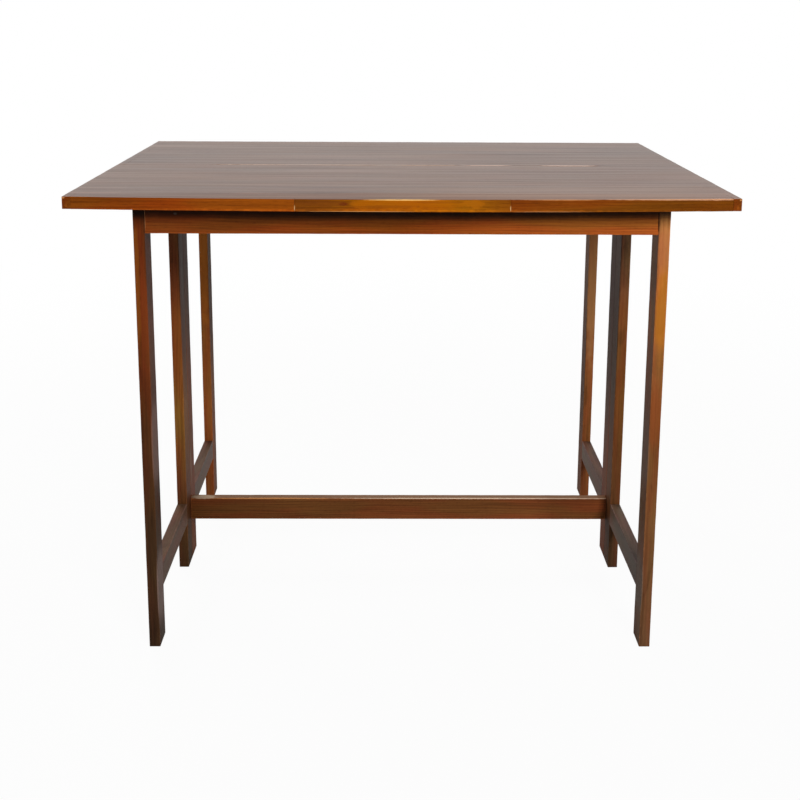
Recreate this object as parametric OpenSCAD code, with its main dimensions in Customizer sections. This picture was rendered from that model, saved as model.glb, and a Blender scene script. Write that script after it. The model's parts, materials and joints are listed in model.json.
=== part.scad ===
// Pull-apart extending dining table, drawn closed, as it stands for everyday use.
// Origin on the floor under the middle of the top: X along the long side, Y to the rear, Z up.
// Top and base are cut across at mid-depth. The front half slides forward on wooden runners,
// and a two-part leaf, stored folded under the rear half, fills the opening.

/* [Table] */
// Length of the top, along X
table_l = 1012; // [940:1:1300]
// Depth of the closed top, along Y
table_w = 804; // [700:1:960]
// Height of the top surface above the floor
table_h = 755; // [700:1:800]
// Gap between the two halves when closed
seam_gap = 0.5; // [0.3:0.1:1]

/* [Top] */
// Thickness of the top
top_t = 19; // [16:0.5:22]
// Width of the lipping strips round the top
lip_w = 13; // [8:0.5:20]
// Length of the middle strip of the front lipping
centre_lip_l = 322; // [200:1:500]
// Arris taken off the outer edges of the lipping
lip_arris = 1; // [0.5:0.1:2]
// Overhang of the top past the legs at each end
end_overhang = 93.5; // [60:0.5:140]
// Overhang of the top past the legs at front and rear
long_overhang = 51; // [30:0.5:60]

/* [Legs and rails] */
// Thickness of legs and rails, across the table
leg_t = 18; // [16:0.5:24]
// Depth of each leg, along Y
leg_d = 48; // [44:1:56]
// Height of the aprons under the top
apron_h = 45.5; // [44:0.5:60]
// Height of the low side rails
low_h = 40; // [30:1:60]
// Top edge of the low side rails above the floor
low_top = 127; // [100:1:200]
// Height of the long stretcher
stretcher_h = 42; // [30:1:60]
// Top edge of the stretcher above the floor
stretcher_top = 121; // [90:1:200]
// How far the stretcher laps past the seam over the front pair of middle legs
stretcher_lap = 6; // [2:0.5:8]
// Distance from the seam to the stretcher's tenon
stretcher_tenon_in = 2; // [1:0.5:3]

/* [Joints] */
// Tenon thickness
tenon_t = 8; // [6:0.5:10]
// Tenon length into the depth of a leg
tenon_l = 22; // [15:1:24]
// Tenon length into the thickness of a leg
stub_l = 12; // [8:0.5:14]
// Shoulder above and below each tenon
shoulder = 5; // [3:0.5:7]
// Clearance round a tenon
tenon_gap = 0.1; // [0.05:0.05:0.3]
// Leg length of the triangular corner blocks
block_l = 34; // [24:1:40]
// Height of the corner blocks
block_h = 32; // [24:1:40]

/* [Runners] */
// Space between the folded leaf's ends and the runner bars
leaf_end_room = 10; // [6:0.5:20]
// Width of one runner bar
runner_w = 18; // [16:0.5:22]
// Height of a runner bar
runner_h = 30; // [28:0.5:32]
// Space between neighbouring bars
runner_gap = 0.5; // [0.3:0.1:1]
// Space above the sliding bar
runner_top_gap = 1; // [0.5:0.1:2]
// Free length left at the outer end of a fixed bar
runner_end_gap = 3; // [1:0.5:10]
// How much shorter the sliding bar is than the fixed bars at each end
slider_end = 20; // [10:1:30]
// Height of the tongue on the sliding bar
tongue_h = 6; // [4:0.5:8]
// How far the tongue stands out of the sliding bar
tongue_w = 5.5; // [3:0.5:6]
// Height of the tongue's centre above the bar's lower face
tongue_z = 20; // [18:0.5:21]
// Running clearance round tongue and stop pin
run_gap = 0.4; // [0.3:0.05:0.6]
// Diameter of the stop pins
stop_d = 6; // [4:0.5:7]
// Height of the stop pins above the bar's lower face
stop_z = 8; // [7:0.5:9]
// Distance of a stop pin from the seam end of its bar
stop_in = 12; // [8:1:20]
// Distance from a stop pin to the next runner screw
screw_past_stop = 24; // [16:1:40]
// Distance of the last runner screw from the outer end of its bar
screw_end = 24; // [16:1:40]
// How far a stop pin reaches into the slot of the sliding bar
stop_reach = 4.5; // [3:0.5:5]

/* [Fasteners] */
// Shank diameter of the wood screws
screw_d = 4; // [3:0.5:5]
// Head diameter of the wood screws
screw_head_d = 8; // [6:0.5:9]
// Head thickness of the wood screws
screw_head_t = 2.5; // [2:0.5:4]
// Depth of the head recess
recess = 10; // [6:0.5:12]
// Bite of a screw in the top
bite = 12; // [8:0.5:14]
// Distance of the screws of a corner block from its two glued faces
block_screw_in = 11; // [8:0.5:14]
// Radial clearance of pins, dowels and screws in their bores
bore_gap = 0.08; // [0.05:0.01:0.1]
// Diameter of the seam dowels
dowel_d = 8; // [6:0.5:10]
// Length of dowel set into the wood
dowel_set = 20; // [15:1:30]
// Length of dowel standing out of the seam
dowel_out = 10; // [6:0.5:10]
// Length of the tapered nose of a dowel
dowel_nose = 1.5; // [1:0.5:3]
// How much deeper a socket is than the dowel that enters it
socket_deeper = 2; // [1:0.5:4]
// Extra radial clearance of a socket that the dowel leaves
socket_ease = 0.02; // [0.01:0.01:0.02]
// Distance of the inner dowels from the middle of the table
dowel_in_x = 130; // [80:1:200]
// Distance of the outer dowels from the ends of the top
dowel_end = 106; // [60:1:160]

/* [Seam buttons] */
// Distance of the button pivots from the middle of the runners
button_in = 90.5; // [60:0.5:150]
// Length of a button
button_l = 56; // [50:1:70]
// Width of a button
button_w = 17; // [12:0.5:17.5]
// Thickness of a button
button_t = 9; // [6:0.5:12]
// Gap between a button and the rails above it
button_gap = 0.3; // [0.3:0.1:0.5]
// Diameter of the pivot screw
pivot_d = 5; // [4:0.5:6]
// Bite of the pivot screw in the rail
pivot_bite = 16; // [10:1:24]

/* [Leaf] */
// Play of the stored leaf along Y, at its dowel tips and at its other edge
leaf_room = 2.375; // [1:0.125:5]
// Gap between stacked leaf panels, and between leaf and slats
leaf_gap = 0.3; // [0.2:0.1:0.5]
// Thickness of the slats that carry the leaf
slat_t = 6; // [5:0.5:8]
// Width of the slats
slat_w = 30; // [20:1:40]
// Distance of the slats from the ends of the folded leaf
slat_in = 123; // [80:1:170]
// How far the slat ends are let into apron and rail
slat_set = 8; // [5:0.5:12]
// Length of a leaf hinge, along the fold
hinge_l = 42; // [36:1:60]
// Width of one hinge plate
hinge_w = 24; // [18:1:30]
// Thickness of a hinge plate
hinge_t = 1.2; // [1:0.1:2]
// Diameter of the hinge knuckle
knuckle_d = 5; // [4:0.5:6]
// Clearance between hinge knuckles, and round them in the wood
knuckle_gap = 0.2; // [0.1:0.05:0.3]
// Diameter of the hinge pin
hinge_pin_d = 2.5; // [2:0.1:3]
// Distance of each hinge from the leaf's long edges
hinge_in = 45; // [30:1:70]

/* [Hidden] */
$fn = 48;

teak = "#7d4722";
teak_dark = "#5c3018";
teak_top = "#8c6a55";
teak_light = "#a8671f";
brass = "#b08d4a";
steel = "#9a9a9a";

// A hair of extra length where a cutter passes through a face
eps = 0.5;

// Levels
under = table_h - top_t;
apron_low = under - apron_h;
low_bottom = low_top - low_h;
stretcher_bottom = stretcher_top - stretcher_h;

// Places measured outwards from the seam, the same in both halves
seam_y = seam_gap / 2;
top_out = table_w / 2;
frame_out = top_out - long_overhang;
leg_in_y = frame_out - leg_d;
mid_out_y = seam_y + leg_d;
rail_in_y = seam_y + leg_t;
apron_in_y = frame_out - leg_t;

// Places measured outwards from the middle of the table
top_end = table_l / 2;
leg_out_x = top_end - end_overhang;
leg_in_x = leg_out_x - leg_t;
dowel_out_x = top_end - dowel_end;

// The folded leaf lies in the rear half between rail and apron, its dowels towards the front.
// The front half pulls out by the width of the leaf.
leaf_l = table_l / 2;
leaf_y0 = rail_in_y + leaf_room + dowel_out;
leaf_y1 = apron_in_y - leaf_room;
pull = leaf_y1 - leaf_y0;
fold_x = leaf_l / 2;
slat_top = apron_low + slat_t;
slat_x = fold_x - slat_in;
leaf_low_z = slat_top + leaf_gap;
leaf_high_z = leaf_low_z + top_t + leaf_gap;
fold_z = leaf_high_z - leaf_gap / 2;
knuckle_l = hinge_l / 3;
hinge_ys = [leaf_y0 + hinge_in, leaf_y1 - hinge_in - hinge_l];

// Runner bars: the front half's fixed bar is the inner lane, the rear half's the outer lane
lane = runner_w + runner_gap;
runner_x = fold_x + leaf_end_room + lane + runner_w / 2;
button_x = runner_x - button_in;
runner_y0 = rail_in_y + runner_gap;
runner_y1 = apron_in_y - runner_end_gap;
runner_low = under - runner_h;
slider_out = runner_y1 - slider_end;
tongue_level = runner_low + tongue_z;
stop_level = runner_low + stop_z;
stop_y = runner_y0 + stop_in;
half_pull = pull / 2;

// Screws along a fixed runner bar, clear of its stop pin
runner_screw_ys = [stop_y + screw_past_stop, (runner_y0 + runner_y1) / 2, runner_y1 - screw_end];

// A box given by its lowest and highest corners
module box(lo, hi) {
    translate(lo) cube(hi - lo);
}

// A box grown by a clearance on every side
module grown_box(lo, hi, gap) {
    box(lo - [gap, gap, gap], hi + [gap, gap, gap]);
}

// Turns a piece drawn for the rear half, right side, to any corner
module corner(half, side) {
    mirror([0, half == "front" ? 1 : 0, 0]) mirror([side == "left" ? 1 : 0, 0, 0]) children();
}

// A wood screw pointing up, by the underside of its shank end, with its head below
module screw(x, y, head_z, tip_z) {
    translate([x, y, head_z - screw_head_t]) cylinder(d = screw_head_d, h = screw_head_t);
    translate([x, y, head_z - eps]) cylinder(d = screw_d, h = tip_z - head_z + eps);
}

// The hole that a screw needs, with an open recess for its head
module screw_hole(x, y, head_z, tip_z, low_z) {
    translate([x, y, head_z - eps]) cylinder(d = screw_d + 2 * bore_gap, h = tip_z - head_z + 2 * eps);
    translate([x, y, low_z - eps]) cylinder(d = screw_head_d + 4 * bore_gap, h = head_z - low_z + eps);
}

// Tenons, drawn for the rear half, right side. Grown by a clearance they cut the mortises.
module rail_tenon(y_from, y_to, z_lo, z_hi, gap) {
    cx = (leg_in_x + leg_out_x) / 2;
    grown_box([cx - tenon_t / 2, y_from, z_lo + shoulder], [cx + tenon_t / 2, y_to, z_hi - shoulder], gap);
}

module stub_tenon(y_mid, z_lo, z_hi, gap) {
    grown_box([leg_in_x - eps, y_mid - tenon_t / 2, z_lo + shoulder],
        [leg_in_x + stub_l, y_mid + tenon_t / 2, z_hi - shoulder], gap);
}

// The top: a panel in each half, lipped with strips on its three outer edges
module top_panel(half) {
    inner_x = top_end - lip_w;
    difference() {
        box([-inner_x, seam_y, under], [inner_x, top_out - lip_w, table_h]);
        for (side = [-1, 1]) {
            for (x = [dowel_in_x, dowel_out_x])
                seam_bore(half, side * x);
            for (y = runner_screw_ys)
                pilot(side * fixed_bar_x(half), y);
            for (y = block_screw_ys())
                pilot(side * (leg_in_x - block_screw_in), y);
        }
    }
}

module seam_bore(half, x) {
    depth = half == "rear" ? dowel_set : dowel_out + socket_deeper;
    play = half == "rear" ? bore_gap : bore_gap + socket_ease;
    translate([x, seam_y - eps, under + top_t / 2]) rotate([-90, 0, 0])
        cylinder(d = dowel_d + 2 * play, h = depth + eps);
}

module pilot(x, y) {
    translate([x, y, under - eps]) cylinder(d = screw_d + 2 * bore_gap, h = bite + 2 * eps);
}

function fixed_bar_x(half) = half == "rear" ? runner_x + lane : runner_x - lane;

function block_screw_ys() = [rail_in_y + block_screw_in, apron_in_y - block_screw_in];

// Section of a lipping strip: its outer face is at +X of the drawing, its upper face at the top
module lip_section(width) {
    a = lip_arris;
    polygon([[0, 0], [width - a, 0], [width, a], [width, top_t - a], [width - a, top_t], [0, top_t]]);
}

module side_lip() {
    translate([top_end - lip_w, top_out, under]) rotate([90, 0, 0])
        linear_extrude(height = top_out - seam_y) lip_section(lip_w);
}

module long_lip(x_from, x_to) {
    translate([x_to, top_out - lip_w, under]) rotate([90, 0, -90]) mirror([1, 0, 0])
        linear_extrude(height = x_to - x_from) lip_section(lip_w);
}

// Legs
module outer_leg() {
    difference() {
        box([leg_in_x, leg_in_y, 0], [leg_out_x, frame_out, under]);
        rail_tenon(leg_in_y - eps, leg_in_y + tenon_l, low_bottom, low_top, tenon_gap);
        rail_tenon(leg_in_y - eps, leg_in_y + tenon_l, apron_low, under, tenon_gap);
        stub_tenon(frame_out - leg_t / 2, apron_low, under, tenon_gap);
    }
}

module middle_leg(half) {
    difference() {
        box([leg_in_x, seam_y, 0], [leg_out_x, mid_out_y, under]);
        rail_tenon(mid_out_y - tenon_l, mid_out_y + eps, low_bottom, low_top, tenon_gap);
        rail_tenon(mid_out_y - tenon_l, mid_out_y + eps, apron_low, under, tenon_gap);
        stub_tenon(seam_y + leg_t / 2, apron_low, under, tenon_gap);
        if (half == "rear") stub_tenon(stretcher_tenon_y(), stretcher_bottom, stretcher_top, tenon_gap);
    }
}

// Rails between an outer leg and a middle leg, flush with both
module side_rail(z_lo, z_hi) {
    box([leg_in_x, mid_out_y, z_lo], [leg_out_x, leg_in_y, z_hi]);
    rail_tenon(mid_out_y - tenon_l, mid_out_y + eps, z_lo, z_hi, 0);
    rail_tenon(leg_in_y - eps, leg_in_y + tenon_l, z_lo, z_hi, 0);
}

// A cross rail with a stub tenon at each end
module cross_rail(y_lo, y_hi, z_lo, z_hi, tenon_y) {
    box([-leg_in_x, y_lo, z_lo], [leg_in_x, y_hi, z_hi]);
    for (side = [0, 1])
        mirror([side, 0, 0]) stub_tenon(tenon_y, z_lo, z_hi, 0);
}

module slat_notches() {
    for (side = [-1, 1])
        grown_box([side * slat_x - slat_w / 2, rail_in_y - slat_set, apron_low - eps],
            [side * slat_x + slat_w / 2, apron_in_y + slat_set, slat_top], tenon_gap);
}

module end_apron(half) {
    difference() {
        cross_rail(apron_in_y, frame_out, apron_low, under, frame_out - leg_t / 2);
        if (half == "rear") slat_notches();
    }
}

// The inner rail by the seam is notched from above where the sliding bars pass
module inner_rail(half) {
    notch = runner_w / 2 + tongue_w + 2 * runner_gap;
    difference() {
        cross_rail(seam_y, rail_in_y, apron_low, under, seam_y + leg_t / 2);
        for (side = [-1, 1])
            box([side * runner_x - notch, seam_y - eps, runner_low - 2 * runner_gap],
                [side * runner_x + notch, rail_in_y + eps, under + eps]);
        if (half == "rear") {
            slat_notches();
            for (side = [-1, 1])
                translate([side * button_x, button_y(), apron_low - eps])
                    cylinder(d = pivot_d + 2 * bore_gap, h = pivot_bite + 2 * eps);
        }
    }
}

function button_y() = seam_y + leg_t / 2;

function stretcher_tenon_y() = seam_y + stretcher_tenon_in + tenon_t / 2;

// The stretcher is fixed in the rear pair of middle legs and laps a little past the seam
module stretcher() {
    difference() {
        cross_rail(-stretcher_lap, leg_t - stretcher_lap, stretcher_bottom, stretcher_top,
                   stretcher_tenon_y());
        for (side = [-1, 1])
            box([side * leg_in_x - seam_gap, -stretcher_lap - eps, stretcher_bottom - eps],
                [side * leg_in_x + seam_gap, seam_y, stretcher_top + eps]);
    }
}

// Corner blocks under the top, one in each corner of each half
module corner_block(y_corner, y_dir) {
    x_corner = leg_in_x;
    screw_x = x_corner - block_screw_in;
    screw_y = y_corner + y_dir * block_screw_in;
    difference() {
        translate([0, 0, under - block_h]) linear_extrude(height = block_h)
            polygon([[x_corner, y_corner], [x_corner - block_l, y_corner],
                [x_corner, y_corner + y_dir * block_l]]);
        screw_hole(screw_x, screw_y, under - block_h + recess, under, under - block_h);
    }
}

module corner_blocks() {
    for (side = [0, 1])
        mirror([side, 0, 0]) {
            corner_block(rail_in_y, 1);
            corner_block(apron_in_y, -1);
        }
}

module block_screws() {
    for (side = [-1, 1], y = block_screw_ys())
        screw(side * (leg_in_x - block_screw_in), y, under - block_h + recess, under + bite);
}

// Fixed runner bar: grooved on the side that faces the sliding bar
module fixed_bar(half) {
    cx = fixed_bar_x(half);
    facing = half == "rear" ? -1 : 1;
    face_x = cx + facing * runner_w / 2;
    groove = tongue_w - runner_gap + run_gap;
    difference() {
        box([cx - runner_w / 2, runner_y0, runner_low], [cx + runner_w / 2, runner_y1, under]);
        translate([face_x, (runner_y0 + runner_y1) / 2, tongue_level])
            cube([2 * groove, runner_y1 - runner_y0 + 2 * eps, tongue_h + 2 * run_gap], center = true);
        translate([cx, stop_y, stop_level]) rotate([0, 90, 0])
            cylinder(d = stop_d + 2 * bore_gap, h = runner_w + 2 * eps, center = true);
        for (y = runner_screw_ys)
            screw_hole(cx, y, runner_low + recess, under, runner_low);
    }
}

module runner_screws(half) {
    for (side = [-1, 1], y = runner_screw_ys)
        screw(side * fixed_bar_x(half), y, runner_low + recess, under + bite);
}

// Stop pins cross the fixed bars and reach into the slots of the sliding bars
module stop_pins(half) {
    facing = half == "rear" ? -1 : 1;
    pin_l = runner_w + runner_gap + stop_reach;
    back_x = fixed_bar_x(half) - facing * runner_w / 2;
    for (side = [0, 1])
        mirror([side, 0, 0])
            translate([back_x + facing * pin_l / 2, stop_y, stop_level]) rotate([0, 90, 0])
                cylinder(d = stop_d, h = pin_l, center = true);
}

// Sliding bar: tongues on both sides, and a blind slot for each stop pin
module sliding_bar() {
    top = under - runner_top_gap;
    difference() {
        union() {
            box([runner_x - runner_w / 2, -slider_out, runner_low],
                [runner_x + runner_w / 2, slider_out, top]);
            translate([runner_x, 0, tongue_level])
                cube([runner_w + 2 * tongue_w, 2 * slider_out, tongue_h], center = true);
        }
        stop_slot(1);
        mirror([0, 1, 0]) stop_slot(-1);
    }
}

module stop_slot(facing) {
    depth = stop_reach + run_gap;
    width = stop_d + 2 * run_gap;
    y_far = stop_y + half_pull;
    translate([runner_x + facing * (runner_w / 2 - depth / 2 + eps / 2), 0, stop_level]) {
        for (y = [stop_y, y_far])
            translate([0, y, 0]) rotate([0, 90, 0]) cylinder(d = width, h = depth + eps, center = true);
        translate([0, (stop_y + y_far) / 2, 0]) cube([depth + eps, half_pull, width], center = true);
    }
}

// Dowels standing out of the rear half's seam edge
module seam_dowels() {
    for (side = [-1, 1], x = [dowel_in_x, dowel_out_x])
        dowel(side * x, seam_y + dowel_set, under + top_t / 2);
}

// A dowel along Y with a tapered nose towards the front, by the place of its rear end
module dowel(x, y_end, z) {
    straight = dowel_set + dowel_out - dowel_nose;
    translate([x, y_end, z]) rotate([90, 0, 0]) {
        cylinder(d = dowel_d, h = straight);
        translate([0, 0, straight]) cylinder(d1 = dowel_d, d2 = dowel_d - 2 * dowel_nose, h = dowel_nose);
    }
}

// Seam button: a turning bar under the two inner rails
module seam_button(side) {
    z_hi = apron_low - button_gap;
    half_run = (button_l - button_w) / 2;
    translate([side * button_x, button_y(), z_hi - button_t]) difference() {
        union() {
            for (end = [-1, 1])
                translate([0, end * half_run, 0]) cylinder(d = button_w, h = button_t);
            translate([-button_w / 2, -half_run, 0]) cube([button_w, 2 * half_run, button_t]);
        }
        translate([0, 0, -eps]) cylinder(d = pivot_d + 2 * bore_gap, h = button_t + 2 * eps);
    }
}

module button_pivots() {
    head_z = apron_low - 2 * button_gap - button_t;
    for (side = [-1, 1])
        translate([side * button_x, button_y(), 0]) {
            translate([0, 0, head_z - screw_head_t]) cylinder(d = 2 * pivot_d, h = screw_head_t);
            translate([0, 0, head_z - eps]) cylinder(d = pivot_d, h = apron_low + pivot_bite - head_z + eps);
        }
}

// The leaf: two panels folded underside to underside, hinged at one end
module leaf_panel(z_lo, hinge_face) {
    plate_z = hinge_face > 0 ? z_lo + top_t - hinge_t : z_lo - eps;
    difference() {
        box([-fold_x, leaf_y0, z_lo], [fold_x, leaf_y1, z_lo + top_t]);
        for (y = hinge_ys) {
            box([fold_x - hinge_w - tenon_gap, y - tenon_gap, plate_z - tenon_gap * (hinge_face > 0 ? 1 : 0)],
                [fold_x + eps, y + hinge_l + tenon_gap, plate_z + hinge_t + eps + tenon_gap]);
            translate([fold_x, y - tenon_gap, fold_z]) rotate([-90, 0, 0])
                cylinder(d = knuckle_d + 4 * knuckle_gap, h = hinge_l + 2 * tenon_gap);
        }
        for (x = [dowel_in_x, dowel_out_x]) {
            translate([fold_x - x, leaf_y0 - eps, z_lo + top_t / 2]) rotate([-90, 0, 0])
                cylinder(d = dowel_d + 2 * bore_gap, h = dowel_set + eps);
            translate([fold_x - x, leaf_y1 + eps, z_lo + top_t / 2]) rotate([90, 0, 0])
                cylinder(d = dowel_d + 2 * (bore_gap + socket_ease), h = dowel_out + socket_deeper + eps);
        }
    }
}

module leaf_dowels() {
    for (z = [leaf_low_z, leaf_high_z], x = [dowel_in_x, dowel_out_x])
        dowel(fold_x - x, leaf_y0 + dowel_set, z + top_t / 2);
}

// One butt hinge: a lower plate with two knuckles, an upper plate with one, and a pin
module leaf_hinge(y) {
    bore_d = hinge_pin_d + 2 * bore_gap;
    translate([fold_x, y, fold_z]) {
        hinge_half([0, 2], -1, bore_d);
        hinge_half([1], 1, bore_d);
        rotate([-90, 0, 0]) cylinder(d = hinge_pin_d, h = hinge_l);
    }
}

module hinge_half(places, face, bore_d) {
    plate_lo = face < 0 ? -leaf_gap / 2 - hinge_t : leaf_gap / 2;
    clear = (knuckle_d + 2 * knuckle_gap) / 2;
    turned_l = knuckle_l - knuckle_gap;
    difference() {
        union() {
            translate([-hinge_w, 0, plate_lo]) cube([hinge_w - clear, hinge_l, hinge_t]);
            for (place = places)
                translate([0, place * knuckle_l + knuckle_gap / 2, 0]) {
                    rotate([-90, 0, 0]) cylinder(d = knuckle_d, h = turned_l);
                    translate([-clear - eps, 0, plate_lo]) cube([clear + eps, turned_l, hinge_t]);
                }
        }
        translate([0, -eps, 0]) rotate([-90, 0, 0]) cylinder(d = bore_d, h = hinge_l + 2 * eps);
    }
}

module leaf_hinges() {
    for (y = hinge_ys)
        leaf_hinge(y);
}

// Slats let into the rear apron and the inner rail carry the folded leaf
module leaf_slats() {
    for (side = [-1, 1])
        box([side * slat_x - slat_w / 2, rail_in_y - slat_set, apron_low],
            [side * slat_x + slat_w / 2, apron_in_y + slat_set, slat_top]);
}

// The separate pieces, as they are fitted
module in_front() { corner("front", "right") children(); }
module top_panel_front() { color(teak_top) in_front() top_panel("front"); }
module top_panel_rear() { color(teak_top) top_panel("rear"); }

module front_lip(x_from, x_to) { in_front() long_lip(x_from, x_to); }

module front_lip_left() { color(teak) front_lip(-top_end + lip_w, -centre_lip_l / 2); }
module front_lip_centre() { color(teak_light) front_lip(-centre_lip_l / 2, centre_lip_l / 2); }
module front_lip_right() { color(teak) front_lip(centre_lip_l / 2, top_end - lip_w); }
module rear_lip() { color(teak) long_lip(-top_end + lip_w, top_end - lip_w); }
module side_lips(half, side) { color(teak_dark) corner(half, side) side_lip(); }
module outer_legs(half, side) { color(teak) corner(half, side) outer_leg(); }
module middle_legs(half, side) { color(teak_dark) corner(half, side) middle_leg(half); }
module low_rails(half, side) { color(teak_dark) corner(half, side) side_rail(low_bottom, low_top); }
module side_aprons(half, side) { color(teak) corner(half, side) side_rail(apron_low, under); }
module fixed_bars(half, side) { color(teak_light) corner(half, side) fixed_bar(half); }

module slider(side) {
    color(teak_light) corner("rear", side) sliding_bar();
}

top_panel_front();
front_lip_left();
front_lip_centre();
front_lip_right();
side_lips("front", "left");  // side_lip_front_left
side_lips("front", "right");  // side_lip_front_right
outer_legs("front", "left");  // front_leg_left
outer_legs("front", "right");  // front_leg_right
middle_legs("front", "left");  // middle_leg_front_left
middle_legs("front", "right");  // middle_leg_front_right
low_rails("front", "left");  // low_rail_front_left
low_rails("front", "right");  // low_rail_front_right
side_aprons("front", "left");  // side_apron_front_left
side_aprons("front", "right");  // side_apron_front_right
color(teak) in_front() end_apron("front");  // front_apron
color(teak) in_front() inner_rail("front");  // inner_rail_front
color(teak_light) in_front() corner_blocks();  // corner_blocks_front
color(steel) in_front() block_screws();  // block_screws_front
fixed_bars("front", "left");  // runner_front_left
fixed_bars("front", "right");  // runner_front_right
color(steel) in_front() runner_screws("front");  // runner_screws_front
color(steel) in_front() stop_pins("front");  // stop_pins_front
top_panel_rear();
rear_lip();
side_lips("rear", "left");  // side_lip_rear_left
side_lips("rear", "right");  // side_lip_rear_right
outer_legs("rear", "left");  // rear_leg_left
outer_legs("rear", "right");  // rear_leg_right
middle_legs("rear", "left");  // middle_leg_rear_left
middle_legs("rear", "right");  // middle_leg_rear_right
low_rails("rear", "left");  // low_rail_rear_left
low_rails("rear", "right");  // low_rail_rear_right
side_aprons("rear", "left");  // side_apron_rear_left
side_aprons("rear", "right");  // side_apron_rear_right
color(teak) end_apron("rear");  // rear_apron
color(teak) inner_rail("rear");  // inner_rail_rear
color(teak) stretcher();
color(teak_light) corner_blocks();  // corner_blocks_rear
color(steel) block_screws();  // block_screws_rear
fixed_bars("rear", "left");  // runner_rear_left
fixed_bars("rear", "right");  // runner_rear_right
color(steel) runner_screws("rear");  // runner_screws_rear
color(steel) stop_pins("rear");  // stop_pins_rear
color(teak_light) seam_dowels();
color(teak_top) leaf_panel(leaf_low_z, 1);  // leaf_lower
color(teak_top) leaf_panel(leaf_high_z, -1);  // leaf_upper
color(brass) leaf_hinges();
color(teak_light) leaf_dowels();
color(teak_light) leaf_slats();
slider("left");  // runner_slider_left
slider("right");  // runner_slider_right
color(teak_dark) seam_button(-1);  // seam_button_left
color(teak_dark) seam_button(1);  // seam_button_right
color(brass) button_pivots();
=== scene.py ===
"""Extending dining table: two halves that pull apart along their seam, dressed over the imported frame."""

import json
import logging
import math
import random
from collections.abc import Callable, Sequence
from dataclasses import dataclass, replace
from enum import Enum
from functools import cached_property

import bmesh
import bpy
from mathutils import Matrix, Vector

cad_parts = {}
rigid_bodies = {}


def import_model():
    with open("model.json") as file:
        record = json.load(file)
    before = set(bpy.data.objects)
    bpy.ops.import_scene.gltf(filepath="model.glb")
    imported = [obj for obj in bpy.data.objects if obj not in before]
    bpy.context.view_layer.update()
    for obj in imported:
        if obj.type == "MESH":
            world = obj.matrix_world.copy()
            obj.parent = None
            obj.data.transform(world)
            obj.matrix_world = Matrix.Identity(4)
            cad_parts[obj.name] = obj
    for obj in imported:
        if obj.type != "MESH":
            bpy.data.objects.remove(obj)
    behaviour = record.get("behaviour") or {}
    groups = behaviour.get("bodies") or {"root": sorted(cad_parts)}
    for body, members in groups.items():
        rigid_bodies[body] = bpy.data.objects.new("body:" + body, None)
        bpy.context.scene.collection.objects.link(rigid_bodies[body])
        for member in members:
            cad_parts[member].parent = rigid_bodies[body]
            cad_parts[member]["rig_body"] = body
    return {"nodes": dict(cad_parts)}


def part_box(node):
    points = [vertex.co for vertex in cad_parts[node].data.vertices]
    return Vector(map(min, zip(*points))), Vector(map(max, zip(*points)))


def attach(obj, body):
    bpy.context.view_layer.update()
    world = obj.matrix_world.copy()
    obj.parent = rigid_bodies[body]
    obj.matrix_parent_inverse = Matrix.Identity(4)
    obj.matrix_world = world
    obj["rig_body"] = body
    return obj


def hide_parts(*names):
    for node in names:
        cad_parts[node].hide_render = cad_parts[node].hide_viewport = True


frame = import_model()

log = logging.getLogger("table")

Rgb = tuple[float, float, float]  # from 0 to 255, or factors
Place = tuple[float, float, float]
Shades = tuple[tuple[float, Rgb], ...]  # places from 0 to 1 along a board, with their colours
Planes = tuple[tuple[int, float], ...]  # an axis and a place on it, in metres
Box = tuple[Vector, Vector]  # the lowest and the highest corner, in metres
Piece = bpy.types.Object
Socket = bpy.types.NodeSocket
Given = dict[object, object]  # a node's settings or inputs
MM = 0.001
SAME_PLACE = 0.01 * MM
UPPER_FACES = "veneered"
UPPER_SLOPE = 0.75
SMOOTH_ANGLE = math.radians(40)
SHARP_ANGLE = 0.6
COAT_ROUGH = 0.3
BUMP_STRENGTH = 0.6
WOOD_RELIEF = 0.06 * MM
METAL_RELIEF = 0.03 * MM
WEAR_LUMPS = 0.022  # size of the uneven wear along an arris, in metres
LIGHT_FIBRE, DARK_FIBRE = (1.65, 1.75, 1.9), (0.42, 0.36, 0.34)  # factors on the stain
WAVER_MM, RIPPLE_MM = 18.0, 1.8  # how far the growth rings wander


def linear(colour: Rgb) -> tuple[float, float, float, float]:
    """Turn a colour of 0 to 255 per channel into the linear one that a shader takes, with a full alpha."""
    steps = (channel / 255 for channel in colour)
    return (*(s / 12.92 if s <= 0.04045 else ((s + 0.055) / 1.055) ** 2.4 for s in steps), 1.0)


# ---- shader expressions ----


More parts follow.
